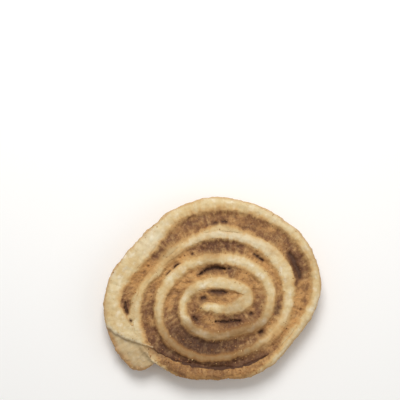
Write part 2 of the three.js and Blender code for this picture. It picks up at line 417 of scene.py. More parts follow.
def end_tree(tree, geometry, material):
    """Ends a tree: instances made real, shaded smooth, and given their material."""
    geometry = made(tree, "GeometryNodeRealizeInstances", {"Geometry": geometry})
    geometry = made(tree, "GeometryNodeSetShadeSmooth", {"Geometry": geometry})
    geometry = made(tree, "GeometryNodeSetMaterial", {"Geometry": geometry, "Material": material})
    fill(tree, tree.nodes.new("NodeGroupOutput").inputs[0], geometry)


def grow(name, base, tree, inputs):
    """Runs a tree on a base mesh and keeps its result as a plain mesh piece."""
    piece = bpy.data.objects.new(name, base)
    bpy.context.scene.collection.objects.link(piece)
    modifier = piece.modifiers.new("Shape", "NODES")
    modifier.node_group = tree
    for item in tree.interface.items_tree:
        if item.in_out == "INPUT" and item.name in inputs:
            modifier[item.identifier] = inputs[item.name]
    view = bpy.context.evaluated_depsgraph_get()
    shaped = piece.evaluated_get(view)
    mesh = bpy.data.meshes.new_from_object(shaped, preserve_all_data_layers=True, depsgraph=view)
    piece.modifiers.remove(modifier)
    piece.data = mesh
    mesh.name = name
    return piece


def known(tree, name, kind="FLOAT"):
    """A value that the mesh carries."""
    return made(tree, "GeometryNodeInputNamedAttribute", {"Name": name}, data_type=kind)


def keep(tree, geometry, kind="FLOAT", **values):
    """Stores fields on the mesh under their names."""
    for name, value in values.items():
        inputs = {"Geometry": geometry, "Name": name, "Value": value}
        geometry = made(tree, "GeometryNodeStoreNamedAttribute", inputs, data_type=kind)
    return geometry


def forget(tree, geometry, *names):
    """Drops values that only the tree needs."""
    for name in names:
        geometry = made(tree, "GeometryNodeRemoveAttribute", {"Geometry": geometry, "Name": name})
    return geometry


def here(tree):
    """Position of the point that a field is worked out for."""
    return made(tree, "GeometryNodeInputPosition")


def move(tree, geometry, **where):
    """Puts the points at a Position, or moves them by an Offset."""
    return made(tree, "GeometryNodeSetPosition", {"Geometry": geometry, **where})


def sweep(tree, path, size):
    """Sweeps a rounded oblong along the path. Its points know their place across and up."""
    width = size["Section Width"]
    height = size["Thickness"]
    inputs = {"Width": width, "Height": height}
    outline = made(tree, "GeometryNodeCurvePrimitiveQuadrilateral", inputs)
    inputs = {"Curve": outline, "Count": size["Round Steps"], "Radius": size["Round"], "Limit Radius": True}
    outline = made(tree, "GeometryNodeFilletCurve", inputs, mode="POLY")
    count = put(tree, "GeometryNodeAttributeDomainSize", {"Geometry": outline}, component="CURVE")
    index = made(tree, "GeometryNodeInputIndex")
    following = calc("MODULO", index + 1.0, Field(tree, count.outputs["Point Count"]))
    inputs = {"Index": following, "Value": here(tree)}
    corner = made(tree, "GeometryNodeFieldAtIndex", inputs, data_type="FLOAT_VECTOR")
    both_ends = reckon("ADD", here(tree), corner)
    on_face = ramp(part_of(both_ends, "Y"), height * 0.9, height * 0.98)
    on_outside = ramp(part_of(both_ends, "X"), width * 0.9, width * 0.98)
    step = size["Hidden Step"] + (size["Wall Step"] - size["Hidden Step"]) * on_outside
    step = step + (size["Face Step"] - step) * on_face
    cuts = calc("FLOOR", reckon("DISTANCE", here(tree), corner) / step)
    outline = made(tree, "GeometryNodeSubdivideCurve", {"Curve": outline, "Cuts": cuts})
    outline = keep(tree, outline, across=part_of(here(tree), "X") / width * 2.0)
    outline = keep(tree, outline, rise=part_of(here(tree), "Y") / height + 0.5)
    rail = made(tree, "GeometryNodeMeshToCurve", {"Mesh": path})
    inputs = {"Curve": rail, "Profile Curve": outline, "Fill Caps": True}
    swept = made(tree, "GeometryNodeCurveToMesh", inputs)
    return made(tree, "GeometryNodeFlipFaces", {"Mesh": swept})


def bounded(tree, geometry, lowest, highest):
    """Keeps every point between two heights."""
    point = here(tree)
    height = calc("MINIMUM", calc("MAXIMUM", part_of(point, "Z"), lowest), highest)
    return move(tree, geometry, Position=vector(part_of(point, "X"), part_of(point, "Y"), height))


def crumb_rise(crumbly, spacing):
    """Rise and fall of baked-on cinnamon crumbs, -1 to 1."""
    crumb, chance = spots(crumbly, spacing, CRUMB_SEED)
    return ramp(crumb, 0.7, 0.0) + chance - 1.0


def face_hollows(ground, depth):
    """Rise and fall of the whole face, the same for the dough and the filling."""
    broad = noise(ground, 8 * MM)
    small = noise(ground, 2.8 * MM)
    return (broad + small * 0.8 + 1.6) * depth


def border(along, deep, fringe, seed):
    """Ragged run of the line where dough meets filling, the same seen from either side."""
    tongues = noise(vector(along, deep * 0.3, 0.0), 1.5 * MM, 4.0, seed)
    bays = noise(vector(along, deep * 0.6, 0.0), 3.4 * MM, 3.0, seed)
    runs = noise(vector(along, deep * 0.3, 0.0), 1.0 * MM, 2.0, seed + 2.0)
    torn = ramp(noise(vector(along, 0.0, 0.0), 6.0 * MM, 1.0, seed + 5.0), -0.5, 0.7)
    return (tongues * 0.65 + bays * 0.8 + runs * torn * 0.4) * fringe


BORDER_SEEDS = {"in": 11.0, "out": 17.0}  # seeds of that line on the dough's two edges
FACE_HOLLOW = 0.3 * MM
CRUMB_SIZE = 1.2 * MM  # spacing of the cinnamon crumbs
CRUMB_PUSH = 0.9 * MM  # how far they lie off even spacing
CRUMB_SEED = 2.0
NOSE_SMOOTH = 1.5 * MM  # length of strip at each end where the relief fades in

dough_places = ring_places(DOUGH_START, DOUGH_END, DOUGH_STEP)
rim = [beside(place, outer_reach(place)) for place in dough_places if place > DOUGH_END - TURN]
corners = [Vector((limit(p.x for p in rim), limit(p.y for p in rim), 0)) for limit in (min, max)]
roll_middle = (corners[0] + corners[1]) / 2


def on_table(points):
    """Points of the roll's rule as metres from the slice's middle."""
    return [(point - roll_middle) * MM for point in points]


dough_line = on_table(roll_point(place) for place in dough_places)
dough_lengths = lengths_along(dough_line)


def dough_along(degrees):
    """Length of the dough strip up to a place."""
    later = next((i for i, place in enumerate(dough_places) if place > degrees), len(dough_places) - 1)
    before = max(later - 1, 0)
    step = max(dough_places[later] - dough_places[before], 0.001)
    share = min(max((degrees - dough_places[before]) / step, 0), 1)
    return dough_lengths[before] + (dough_lengths[later] - dough_lengths[before]) * share


def soak(end, degrees):
    """How far cinnamon soaks into one edge of the dough."""
    return (SOAK + humps(SOAKS[end], degrees)) * MM


def fringe(end, degrees):
    """How ragged that edge is."""
    return (FRINGE + humps(FRINGES[end], degrees)) * MM


dough_values = {
    "inner": [inner_reach(place) * MM for place in dough_places],
    "outer": [outer_reach(place) * MM for place in dough_places],
    "along": dough_lengths,
    "taper": [min(far, dough_lengths[-1] - far, NOSE_SMOOTH) / NOSE_SMOOTH for far in dough_lengths],
    "outside": [smooth(place, OUTSIDE_FROM, OUTSIDE_TO) for place in dough_places],
    "flaky": [humps(FLAKY, place) for place in dough_places],
    "toast_and_painted_light": [humps(TOASTS_AND_PAINTED_LIGHT, place) for place in dough_places],
    "seam_in": [smooth(place, *TAIL_SEAM) for place in dough_places],
    "seam_out": [
        smooth(place, *TURN_SEAM) * (1 - smooth(place, *TURN_SEAM_OPENS)) for place in dough_places
    ],
}
for end, dry in (("in", TAIL_DRY), ("out", TURN_DRY)):
    dough_values["soak_" + end] = [
        soak(end, place) * (1 - smooth(place, *dry)) for place in dough_places
    ]
    dough_values["fringe_" + end] = [fringe(end, place) for place in dough_places]
sides = [roll_side(place) for place in dough_places]
dough_path = path_mesh("dough_path", dough_line, dough_values, {"seat": dough_line, "side": sides})

dough_material = bpy.data.materials.new("baked_dough")
dough_sizes = {
    "Thickness": THICKNESS * MM,
    "Section Width": DOUGH_WIDTH * MM,
    "Round": 0.5 * MM,
    "Round Steps": 3,
    "Face Step": 0.24 * MM,
    "Wall Step": 0.75 * MM,
    "Hidden Step": 3.0 * MM,
    "Crown": 0.5 * MM,
    "Face Hollow": FACE_HOLLOW,
    "Edge Wobble": 0.34 * MM,
    "Wall Belly": 0.35 * MM,
    "Rim Round": 2.2 * MM,
    "Rim Drop": 0.7 * MM,
    "Flap Drop": 1.9 * MM,
    "Flap Rise": 2.8 * MM,
    "Flap Starts": dough_along(FLAP_AT),
    "Flap Slant": 1.35,
    "Flap Edge": 1.5 * MM,
    "Fold Starts": dough_along(FOLD_AT),
    "Fold Edge": 0.9 * MM,
    "Fold Fades": 9.0 * MM,
    "Fold Drop": 0.9 * MM,
    "Flap Fray": 1.1 * MM,
    "Flap Lumps": 0.4 * MM,
    "Blisters": 0.14 * MM,
    "Flakes": 0.3 * MM,
    "Fibres": 0.06 * MM,
    "Grain": 0.06 * MM,
    "Crumb Height": 0.3 * MM,
    "Highest Flake": 0.15 * MM,
    "Seed": 3.0,
    "Material": dough_material,
}
tree, path, size = new_tree("dough_strip", dough_sizes)
strip = sweep(tree, path, size)
seat, side = (known(tree, name, "FLOAT_VECTOR") for name in ("seat", "side"))
across, rise, along, taper = (known(tree, name) for name in ("across", "rise", "along", "taper"))
outside, flaky, seam_out = (known(tree, name) for name in ("outside", "flaky", "seam_out"))
seed = size["Seed"]
level = rise * size["Thickness"]
wobble = size["Edge Wobble"] * taper

# Wavy edges, and a wall that bellies out where it is the slice's rim
edges = []
for name, start, rougher in (("inner", 0.0, 0.0), ("outer", 9.0, flaky)):
    run = vector(along, seed + start, level * 0.4)
    waves = noise(run, 2.6 * MM, 3.0) + noise(run, 8.0 * MM, 1.0)
    edges.append(known(tree, name) + waves * wobble * (rougher + 1.0))
inner, outer = edges
belly = (rise - 0.62) * 2.0
outer = outer - outside * belly * belly * size["Wall Belly"]
offset = (outer - inner) * 0.5 + (outer + inner) * 0.5 * across
strip = keep(tree, strip, "FLOAT_VECTOR", strip=vector(along, offset, level))
strip = keep(tree, strip, edge_in=(across + 1.0) * (outer + inner) * 0.5)
strip = keep(tree, strip, edge_out=(1.0 - across) * (outer + inner) * 0.5)
place = known(tree, "strip", "FLOAT_VECTOR")
edge_in, edge_out = (known(tree, name) for name in ("edge_in", "edge_out"))

# Frayed step down to the flap, its lip, and the shallow fold that carries both on
fray = noise(vector(offset, seed, 0.0), 1.1 * MM, 2.0) * size["Flap Fray"]
reach = along + offset * size["Flap Slant"] + fray
steps = []
ridges = []
for name in ("Flap", "Fold"):
    start = size[name + " Starts"]
    half = size[name + " Edge"]
    steps.append(ramp(reach, start - half, start + half))
    ridge = ramp(reach, start - half * 1.5, start - half * 0.8)
    ridges.append(ridge * ramp(reach, start, start - half * 0.7))
fading = ramp(reach, start + size["Fold Fades"], start + half)
strip = keep(tree, strip, flap=steps[0], fold=steps[1] * fading, lip=ridges[0] + ridges[1])
flap = known(tree, "flap")
lumps = noise(scaled(place, 1.0, 0.6, 0.0), 2.0 * MM, 3.0, seed) * size["Flap Lumps"] * flap

# Crowned ridge, lower at the rim, and flatter where two turns have run together
shoulder = calc("MAXIMUM", 1.0 - edge_out / size["Rim Round"], 0.0)
ground = reckon("ADD", seat, along_vector(side, offset))
together_in = ramp(across, 0.0, -1.0) * known(tree, "seam_in")
together_out = ramp(across, 0.0, 1.0) * seam_out
crown = across * across * size["Crown"] * (1.0 - (together_in + together_out) * 0.8)
crown = crown + shoulder * shoulder * outside * size["Rim Drop"] * (1.0 - seam_out)
top = size["Thickness"] - face_hollows(ground, size["Face Hollow"]) - crown
pressed = flap * ramp(edge_in, 0.0, size["Flap Rise"], 0.15, 1.0) * size["Flap Drop"]
top = top - pressed - known(tree, "fold") * size["Fold Drop"] + lumps
strip = move(tree, strip, Position=reckon("ADD", ground, vector(0.0, 0.0, rise * top)))

# Blisters, flakes, fibres and crumbs of the crust
on_face = ramp(rise, 0.8, 0.95)
blisters = noise(scaled(place, 0.7, 0.7, 1.0), 3.2 * MM, seed=seed) * size["Blisters"]
flakes = noise(scaled(place, 0.35, 1.0, 1.0), 0.9 * MM, 3.0, seed) * size["Flakes"]
fibres = noise(scaled(place, 1.0, 0.25, 1.0), 1.0 * MM, 2.0, seed) * size["Fibres"]
grain = noise(place, 0.45 * MM, 2.0, seed) * size["Grain"]
gritty = ramp(known(tree, "soak_in"), 2.0 * MM, 5.0 * MM)
crumb = crumb_rise(jumble(place, MM, CRUMB_PUSH), CRUMB_SIZE) * size["Crumb Height"] * gritty
relief = blisters * (1.0 - on_face * 0.3) + flakes * (flaky + 0.5) + fibres + grain + crumb
normal = made(tree, "GeometryNodeInputNormal")
strip = keep(tree, strip, relief=relief * taper / MM)
strip = move(tree, strip, Offset=along_vector(normal, known(tree, "relief") * MM))
strip = bounded(tree, strip, 0.0, size["Thickness"] + size["Highest Flake"])
strip = forget(tree, strip, "seat", "inner", "outer", "taper", "across", "seam_in", "seam_out")
end_tree(tree, strip, size["Material"])
dough = grow("rolled_dough_baked", dough_path, tree, dough_sizes)


def linear(red, green, blue):
    """A colour read as it looks on a screen, 0 to 255, as the renderer's own numbers."""
    shares = [value / 255 for value in (red, green, blue)]
    return tuple(v / 12.92 if v <= 0.04045 else ((v + 0.055) / 1.055) ** 2.4 for v in shares) + (1.0,)


def new_shader(material):
    """Clears a material and gives it one principled shader."""
    material.use_nodes = True
    tree = material.node_tree
    tree.nodes.clear()
    shader = tree.nodes.new("ShaderNodeBsdfPrincipled")
    output = tree.nodes.new("ShaderNodeOutputMaterial")
    tree.links.new(shader.outputs[0], output.inputs["Surface"])
    return tree, shader


def carried(tree, name, kind="Fac"):
    """A number, or with Vector a vector, that the mesh carries, read in a material."""
    node = put(tree, "ShaderNodeAttribute", attribute_name=name)
    return Field(tree, node.outputs[kind])


def tint(share, under, over, blend="MIX"):
    """One colour laid over another by a share."""
    inputs = {"Factor": share, "A": under, "B": over}
    return made(share.tree, "ShaderNodeMix", inputs, data_type="RGBA", blend_type=blend)


def layered(colour, *layers):
    """Lays colours over a colour, in turn: (share, red, green, blue)."""
    for share, *over in layers:
        colour = tint(share, colour, linear(*over))
    return colour


def finish(tree, shader, colour, roughness, gloss, height, strength, depth):
    """Gives a shader its colour, its gloss, and fine relief that the mesh is too coarse for."""
    relief = made(tree, "ShaderNodeBump", {"Height": height, "Strength": strength, "Distance": depth})
    values = {"Base Color": colour, "Roughness": roughness, "Specular IOR Level": gloss, "Normal": relief}
    for name, value in values.items():
        fill(tree, shader.inputs[name], value)


def cinnamon_colour(place, crumbly, dark_and_painted_shade, relief):
    """Baked cinnamon sugar: patches, streaks and crumbs from gold to deep brown, with painted highlight on
    bumps, painted shade in dips, and a greyish dimming where the darker share is high, which is partly
    painted shade.
    """
    patches = noise(scaled(place, 0.6, 1.0, 1.0), 3.6 * MM, 3.0)
    mottle = noise(scaled(place, 0.8, 1.0, 1.0), 2.2 * MM, 4.0)
    streaks = noise(scaled(place, 1.0, 0.25, 1.0), 1.6 * MM, 3.0)
    speckle = noise(place, 0.5 * MM, 3.0)
    crumb = spots(crumbly, CRUMB_SIZE, CRUMB_SEED)[1]
    grit = spots(jumble(place, 0.5 * MM, 0.4 * MM), 0.55 * MM, CRUMB_SEED)[1]
    colour = layered(
        linear(201, 150, 90),
        (ramp(patches + dark_and_painted_shade * 1.6, -0.8, 1.0), 120, 79, 50),
        (ramp(mottle, 0.0, 0.9) * 0.75, 98, 60, 37),
        (ramp(mottle, 0.0, -0.9) * 0.65, 215, 171, 111),
        (ramp(streaks, 0.0, 0.9) * 0.5, 106, 66, 41),
        (ramp(streaks, 0.0, -0.9) * 0.5, 217, 177, 120),
        (ramp(crumb, 0.5, 0.95) * 0.12, 222, 168, 104),
        (ramp(crumb, 0.5, 0.05) * 0.12, 110, 70, 44),
        (ramp(grit, 0.7, 1.0) * 0.2, 228, 182, 122),
        (ramp(grit, 0.3, 0.0) * 0.2, 106, 66, 42),
        (ramp(speckle, 0.2, 1.3) * 0.25, 104, 66, 42),
        (ramp(speckle, -0.4, -1.4) * 0.25, 220, 176, 120),
        # Paler on raised bumps and deeper brown in dips: painted highlight and painted shade
        (ramp(relief, 0.1, 0.7) * 0.3, 206, 156, 98),
        (ramp(relief, -0.1, -0.8) * 0.5, 104, 68, 46),
    )
    # A greyish dimming where the darker share is high: partly painted shade at the bottom of the slice
    return tint(ramp(dark_and_painted_shade, 0.5, 1.4), colour, linear(180, 174, 180), "MULTIPLY")


SOAKED_GOLD = linear(204, 162, 104)  # dough and filling run together
TOAST_AND_SHADE_TINT = linear(184, 164, 146)  # what browning, and the painted shade at the bottom, takes from the dough's colour
tree, shader = new_shader(dough_material)
place = carried(tree, "strip", "Vector")
rise, toast_and_painted_light, flap = (carried(tree, name) for name in ("rise", "toast_and_painted_light", "flap"))
relief, edge_out = (carried(tree, name) for name in ("relief", "edge_out"))
patches = noise(place, 5 * MM, 3.0)
clouds = noise(scaled(place, 0.7, 1.0, 1.0), 2.6 * MM, 4.0, 8.0)
streaks = noise(scaled(place, 1.0, 0.3, 1.0), 2.8 * MM, 4.0, 4.0)
mottle = noise(scaled(place, 0.8, 1.0, 1.0), 1.4 * MM, 4.0)
fibres = noise(scaled(place, 1.0, 0.2, 0.2), 0.9 * MM, 3.0)
specks = noise(place, 0.45 * MM, 2.0)
pore, chance = spots(place, 1.9 * MM, 6.0)

# Baked dough from cream to gold, speckled and pricked, with painted highlight where it is paler and on its
# bumps, and painted shade in its dips
colour = layered(
    linear(220, 200, 156),
    (ramp(patches, -0.7, 0.8), 209, 181, 130),
    # Paler where the share is below 0: partly painted highlight
    (ramp(toast_and_painted_light, 0.0, -1.0) * 0.7, 225, 213, 184),
    (ramp(clouds, 0.0, 1.0) * 0.68, 241, 233, 212),
    (ramp(clouds, -0.1, -1.1) * 0.7, 186, 144, 90),
    (ramp(streaks, 0.1, 1.2) * 0.5, 192, 154, 100),
    (ramp(streaks, -0.1, -1.2) * 0.25, 238, 229, 204),
    (ramp(mottle, 0.0, 1.2) * 0.5, 186, 147, 94),
    (ramp(mottle, 0.0, -1.2) * 0.5, 238, 229, 204),
    (ramp(fibres, 0.1, 1.2) * 0.4, 184, 146, 94),
    (ramp(fibres, -0.2, -1.2) * 0.4, 236, 226, 198),
    # Paler on raised bumps and browner in dips: painted highlight and painted shade
    (ramp(relief, 0.1, 0.5) * 0.3, 230, 214, 178),
    (ramp(relief, -0.1, -0.5) * 0.4, 172, 138, 92),
    (ramp(specks, 0.8, 1.5) * 0.5, 152, 112, 70),
    (ramp(pore, 0.16, 0.06) * ramp(chance, 0.6, 0.7) * 0.7, 134, 94, 58),
)

# Edges soaked with cinnamon, gold first and brown at the very edge
soaked_brown = cinnamon_colour(place, jumble(place, MM, CRUMB_PUSH), toast_and_painted_light, relief)
for end, border_seed in BORDER_SEEDS.items():
    edge, soaked, ragged = (carried(tree, name + end) for name in ("edge_", "soak_", "fringe_"))
    deep = (edge - soaked - border(part_of(place, "X"), edge, ragged, border_seed)) / ragged
    wet = ramp(soaked, 0.0, 0.2 * MM)
    colour = layered(colour, (ramp(deep, 1.5, 0.0) * wet * 0.4, 208, 172, 114))
    colour = tint(ramp(deep, 0.5, -0.7) * wet * 0.85, colour, SOAKED_GOLD)
    colour = tint(ramp(deep, -0.3, -1.6) * wet * 0.9, colour, soaked_brown)
# Browner where the share is above 0: partly painted shade at the bottoms of turns 1 to 3
colour = tint(ramp(toast_and_painted_light, 0.0, 1.0), colour, TOAST_AND_SHADE_TINT, "MULTIPLY")

# Browned rim; painted shade on the flap, on the step under its lip and along the fold; then the wall, and
# the foot that lay on the tray
baked_rim = ramp(edge_out + clouds * 0.4 * MM, 1.3 * MM, 0.0) * carried(tree, "outside")
wall = ramp(rise, 0.97, 0.6)
foot = ramp(rise + clouds * 0.05, 0.25, 0.02)
colour = layered(
    colour,
    (baked_rim * 0.55, 190, 142, 86),
    # Greyer over the whole pressed flap: painted shade
    (flap * 0.4, 170, 146, 112),
    (flap * ramp(edge_out, 2.6 * MM, 0.6 * MM) * 0.5, 196, 142, 84),
    # Darker on the step down to the flap: painted shadow under its lip
    (ramp(flap, 0.25, 0.5) * ramp(flap, 1.0, 0.8) * 0.5, 150, 120, 84),
    # Greyish brown where the fold runs on across the third turn: painted shade
    (carried(tree, "fold") * 0.6, 142, 114, 82),
    (carried(tree, "lip") * 0.5, 230, 214, 180),
    (wall * 0.65, 203, 158, 98),
    (wall * ramp(clouds + patches * 0.6, -0.2, 1.2) * 0.6, 176, 121, 66),
    # Browner in the wall's dips: painted shade
    (wall * ramp(relief, 0.0, -0.5) * 0.5, 158, 106, 60),
    (wall * ramp(mottle, -0.2, -1.2) * 0.35, 226, 196, 146),
    (foot * 0.75, 150, 98, 52),
    (foot * ramp(clouds + mottle * 0.7, 0.1, 1.6) * 0.6, 204, 158, 100),
    (foot * ramp(patches + streaks * 0.6, 0.0, 1.4) * 0.6, 108, 66, 36),
)
uneven_gloss = ramp(mottle, -1.0, 1.0, 0.6, 0.82)
fine_relief = noise(place, 0.22 * MM, 3.0) + fibres * 0.5
finish(tree, shader, colour, uneven_gloss, 0.3, fine_relief, 0.5, 0.1 * MM)

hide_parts("rolled_dough")
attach(dough, "root")


# Cinnamon filling. Butter, sugar and ground cinnamon spread on the dough before it was rolled. In
# the oven it bubbled, cracked along the turns and sank a little below the dough beside it.
FILLING_START = 38.0  # degrees, first cross-section, in the core's pocket
FILLING_END = 1280.0  # degrees, last cross-section, under the tail
FILLING_STEP = 0.3  # spacing of the cross-sections
POCKET_END = 165.0  # degrees, where the filling reaches the tip of the curl
POCKET_CURL_START = -6.0  # degrees, place on the curl that faces the filling's start
FILLING_REACH = 1.1  # how far the filling soaks into the dough beside it, past its own edge
LEAST_REACH = 0.02  # least distance of its edge from the dough's centre line
TIP_CLEAR = 0.25  # distance more between that line's end and the filling round the curl's tip
CRACK_STEP = 0.15  # spacing of the points that stand for a crack

# Open cracks: (depth, [(degrees, place across from 0 at the core side to 1, half-width), ...])
CRACKS = [
    # Arched crack over the core
    (1.7, [(490, 0.42, 0.3), (484, 0.47, 0.5), (474, 0.6, 0.7), (462, 0.68, 0.9)]),
    (1.7, [(462, 0.68, 0.9), (452, 0.65, 0.6), (448, 0.64, 0.3)]),
    # Long crack under the curl
    (1.4, [(258, 0.46, 0.3), (266, 0.46, 0.6), (276, 0.48, 0.75), (286, 0.52, 0.65), (295, 0.55, 0.3)]),
    # Wide crevice at the right
    (1.0, [(1119, 0.4, 0.5), (1114, 0.38, 1.1), (1108, 0.36, 1.0), (1102, 0.38, 1.2), (1097, 0.36, 0.6)]),
    # Row of crevices along the bottom
    (0.9, [(946, 1.0, 0.6), (954, 0.95, 1.1), (961, 0.84, 0.8), (968, 0.8, 1.1)]),
    (0.4, [(968, 0.8, 0.7), (978, 0.78, 0.8)]),
    (1.0, [(978, 0.78, 0.9), (989, 0.74, 1.2), (996, 0.8, 0.8)]),
    (0.4, [(996, 0.8, 0.7), (1003, 0.84, 0.7)]),
    (1.0, [(1003, 0.84, 0.8), (1012, 0.9, 1.1), (1024, 0.98, 0.6)]),
    # In the core's pocket, at the upper right, and beside the tail
    (0.7, [(124, 0.78, 0.5), (112, 0.74, 0.8), (100, 0.72, 0.8), (92, 0.68, 0.5)]),
    (0.9, [(781, 0.53, 0.35), (777, 0.53, 0.5), (772, 0.54, 0.45), (770, 0.54, 0.3)]),
    (1.0, [(1263, 0.66, 0.3), (1267, 0.64, 0.5), (1271, 0.62, 0.35)]),
]

# Baked-out pits: (degrees from, degrees to, place across, half-width, depth)
PITS = [
    (150, 156, 0.45, 0.65, 0.9),  # left of the pocket
    (224, 230, 0.7, 0.6, 0.9),  # under the curl's tip
    (316, 318, 0.45, 0.5, 0.7),  # right of the crack under the curl
    (443, 445, 0.66, 0.5, 0.6),  # right of the arched crack
    (871, 874, 0.12, 0.5, 0.8),  # upper left
    (859, 863, 0.2, 0.6, 1.0),  # upper left, beside it
    (1169, 1171, 0.45, 0.55, 0.6),  # top
    (1175, 1177, 0.4, 0.5, 0.6),  # top, beside it
    (668, 671, 0.45, 0.6, 0.8),  # lower right
    (1276, 1277, 0.6, 0.3, 0.5),  # beside the tail
    (808, 809, 0.5, 0.35, 0.5),  # small, over the arched crack
    (797, 798, 0.6, 0.35, 0.5),  # small, right of it
    (840, 841, 0.4, 0.35, 0.5),  # small, left of it
]

# Where the filling baked darker (above 0) or more golden (below 0): (degrees, spread, share). The darker
# rows at the bottom are partly painted shade.
DARKS_AND_PAINTED_SHADE = [
    (195, 25, 0.2),  # left of the core
    (240, 20, 0.1),  # under the curl's tip
    (290, 30, 0.6),  # under the curl
    (350, 30, 0.3),  # right of the curl
    (415, 20, -0.4),  # right of the arched crack
    (440, 8, 0.7),  # beside the arched crack
    (505, 35, -0.4),  # left of the arched crack
    (610, 50, 1.3),  # bottom, between turns 1 and 2, partly painted shade
    (680, 10, -0.5),  # lower right
    (702, 11, 1.1),  # right
    (770, 18, -0.5),  # upper right
    (815, 28, 0.8),  # top, between turns 2 and 3
    (868, 20, -1.0),  # upper left
    (905, 14, 0.4),  # left
    (945, 16, 0.7),  # lower left
    (986, 42, 1.05),  # bottom, partly painted shade
    (1066, 24, -0.6),  # lower right
    (1106, 14, 0.7),  # right
    (1140, 20, 0.3),  # upper right
    (1185, 22, 0.25),  # top
    (1219, 8, 0.8),  # upper left
    (1243, 14, -0.5),  # left
    (1264, 10, 0.6),  # beside the tail
]

# Where dough lies over the filling's edge: (degrees along the strip, spread, millimetres)
SPILLS = {
    "near": [
        (848, 6, 0.5),
        (945, 8, 0.7),
        (1040, 9, 0.8),
        (1171, 12, 2.2),
        (1213, 9, 1.5),
        (1262, 7, 1.4),  # where the tail's turn runs together with the one inside it
        (1276, 6, 3.6),
    ],
    "far": [
        (877, 10, 1.8),  # upper left, where the dough turns in
        (676, 13, 1.0),  # lower right
        (1044, 12, 1.3),  # lower right, beside the rim
    ],
}


def filling_near(degrees):
    """Edge of the filling towards the core. In the pocket it follows the curl, then its tip."""
    if degrees >= DOUGH_START + TURN:
        inside = degrees - TURN
        return beside(inside, max(dough_width(inside) / 2 + GAP - FILLING_REACH, LEAST_REACH))
    round_tip = (degrees - POCKET_END) / (DOUGH_START + TURN - POCKET_END)
    if round_tip > 0:
        side = roll_side(DOUGH_START)
        back = Vector((side.y, -side.x, 0))
        angle = round_tip * math.pi
        reach = max(GAP + TIP_CLEAR - FILLING_REACH, LEAST_REACH)
        return roll_point(DOUGH_START) + (back * math.sin(angle) - side * math.cos(angle)) * reach
    along_pocket = (degrees - FILLING_START) / (POCKET_END - FILLING_START)
    curl = POCKET_CURL_START + (DOUGH_START - POCKET_CURL_START) * along_pocket
    return beside(curl, -max(dough_width(curl) / 2 + GAP - FILLING_REACH, LEAST_REACH))


def filling_point(degrees, across):
    """A point of the filling on the table, across from its near edge to its far one."""
    far = beside(degrees, -inner_reach(degrees) - GAP + FILLING_REACH)
    return filling_near(degrees).lerp(far, across)


filling_places = ring_places(FILLING_START, FILLING_END, FILLING_STEP)
filling_line = on_table(filling_point(place, 0.5) for place in filling_places)
filling_values = {
    "along": lengths_along(filling_line),
    "dark_and_painted_shade": [humps(DARKS_AND_PAINTED_SHADE, place) for place in filling_places],
}
# The dough's edge that each edge of the filling meets, and how many degrees further in it lies
MEETS = {"near": ("out", TURN), "far": ("in", 0.0)}
for edge, (end, inside) in MEETS.items():
    beside_it = [place - inside for place in filling_places]
    filling_values["beside_" + edge] = [dough_along(place) for place in beside_it]
    filling_values["soak_" + edge] = [soak(end, place) for place in beside_it]
    filling_values["fringe_" + edge] = [fringe(end, place) for place in beside_it]
    filling_values["toast_and_painted_light_" + edge] = [humps(TOASTS_AND_PAINTED_LIGHT, place) for place in beside_it]
    filling_values["spill_" + edge] = [humps(SPILLS[edge], place) * MM for place in filling_places]
filling_edges = {
    "near": on_table(filling_point(place, 0) for place in filling_places),
    "far": on_table(filling_point(place, 1) for place in filling_places),
}
filling_path = path_mesh("filling_path", filling_line, filling_values, filling_edges)

crack_points = []
crack_values = {"half": [], "depth": []}
pits = [(depth, [(first, across, half), (last, across, half)]) for first, last, across, half, depth in PITS]
for depth, stops in CRACKS + pits:
    for a, b in zip(stops, stops[1:]):
        crack_from = filling_point(a[0], a[1])
        crack_to = filling_point(b[0], b[1])
        pieces = max(int((crack_to - crack_from).length / CRACK_STEP), 1)
        for i in range(pieces):
            crack_points.append(crack_from.lerp(crack_to, i / pieces))
            crack_values["half"].append((a[2] + (b[2] - a[2]) * i / pieces) * MM)
            crack_values["depth"].append(depth * MM)
crack_mesh = path_mesh("crack_points", on_table(crack_points), crack_values)
crack_piece = bpy.data.objects.new("crack_points", crack_mesh)
bpy.context.scene.collection.objects.link(crack_piece)

filling_material = bpy.data.materials.new("cinnamon_filling")
filling_sizes = {
    "Thickness": THICKNESS * MM,
    "Section Width": 3.6 * MM,
    "Round": 0.1 * MM,
    "Round Steps": 1,
    "Face Step": 0.2 * MM,
    "Wall Step": 4.0 * MM,
    "Hidden Step": 4.0 * MM,
    "Foot": 0.4 * MM,
    "Lowest": 0.3 * MM,
    "Face Hollow": FACE_HOLLOW,
    "Edge Sink": 0.45 * MM,
    "Middle Sink": 1.45 * MM,
    "Basin": 2.4 * MM,
    "Lip": 0.35 * MM,
    "Lip Drop": 0.15 * MM,
    "Swells": 0.4 * MM,
    "Lumps": 0.34 * MM,
    "Grain": 0.14 * MM,
    "Crumb Size": CRUMB_SIZE,
    "Crumb Height": 0.2 * MM,
    "Bubble Spacing": 2.6 * MM,
    "Bubble Depth": 0.7 * MM,
    "Crack Fray": 0.4 * MM,
    "Seed": 5.0,
    "Cracks": crack_piece,
    "Material": filling_material,
}
tree, path, size = new_tree("filling_strip", filling_sizes)
strip = sweep(tree, path, size)
near, far = (known(tree, name, "FLOAT_VECTOR") for name in ("near", "far"))
share = known(tree, "across") * 0.5 + 0.5
rise = known(tree, "rise")
width = reckon("DISTANCE", near, far)
seed = size["Seed"]
place = vector(known(tree, "along"), width * share, rise * size["Thickness"])
strip = keep(tree, strip, "FLOAT_VECTOR", strip=place)
strip = keep(tree, strip, edge_near=width * share, edge_far=width * (1.0 - share))
place = known(tree, "strip", "FLOAT_VECTOR")
on_ground = scaled(place, 1.0, 1.0, 0.0)
